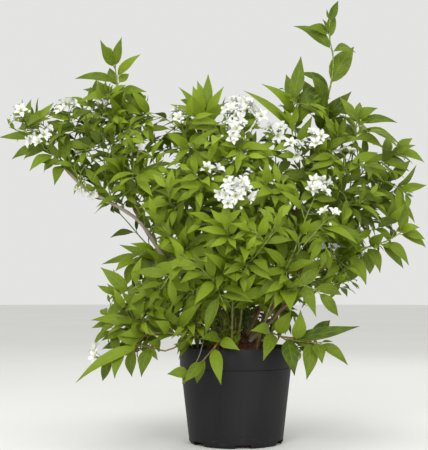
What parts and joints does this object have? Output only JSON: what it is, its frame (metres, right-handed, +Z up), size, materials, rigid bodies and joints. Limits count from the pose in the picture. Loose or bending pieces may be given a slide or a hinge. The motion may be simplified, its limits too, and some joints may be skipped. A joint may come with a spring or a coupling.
{
  "type": "potted deutzia",
  "caption": "Young white-flowered deutzia shrub of arching stems with opposite pointed leaves, growing in a plain black nursery pot",
  "frame": {"origin": "middle of the pot's flat underside, where it rests", "axes": "+Z up along the pot's axis, +X to the right as the picture shows the shrub, +Y away from its front"},
  "size_m": [0.716, 0.477, 0.752],
  "materials": {
    "pot": "matte black moulded",
    "soil": "rough potting soil",
    "bark": "peeling tan bark",
    "leaves": "soft green leaf",
    "petals": "soft white petal"
  },
  "bodies": {
    "root": {"back_cane": "leaves", "back_left_cane": "leaves", "back_right_cane": "leaves", "central_cane": "leaves", "flowers_crown": "petals", "flowers_crown_left": "petals", "flowers_crown_right": "petals", "flowers_far_left": "petals", "flowers_front": "petals", "flowers_front_right": "petals", "flowers_front_right_side": "petals", "flowers_left_fan": "petals", "flowers_left_hanging": "petals", "flowers_left_leader": "petals", "flowers_left_low": "petals", "flowers_left_middle": "petals", "flowers_lower_left": "petals", "flowers_middle_front": "petals", "flowers_middle_left": "petals", "flowers_middle_right": "petals", "flowers_right": "petals", "flowers_right_low": "petals", "flowers_right_side": "petals", "flowers_right_upper": "petals", "flowers_upper_left": "petals", "front_cane": "leaves", "front_right_cane": "leaves", "left_fan": "leaves", "left_hang": "leaves", "left_inner": "leaves", "left_leader": "leaves", "left_middle": "leaves", "left_rise": "leaves", "lower_front_cane": "leaves", "lower_left_cane": "leaves", "lower_right_cane": "leaves", "middle_front": "leaves", "middle_left": "leaves", "middle_low": "leaves", "middle_top": "leaves", "pot": "pot", "right_arch": "leaves", "right_flowering": "leaves", "right_inner": "leaves", "right_leader": "leaves", "right_outer": "leaves", "right_side": "leaves", "right_top": "leaves", "right_upper": "leaves", "soil": "soil", "woody_canes": "bark"}
  },
  "joints": []
}
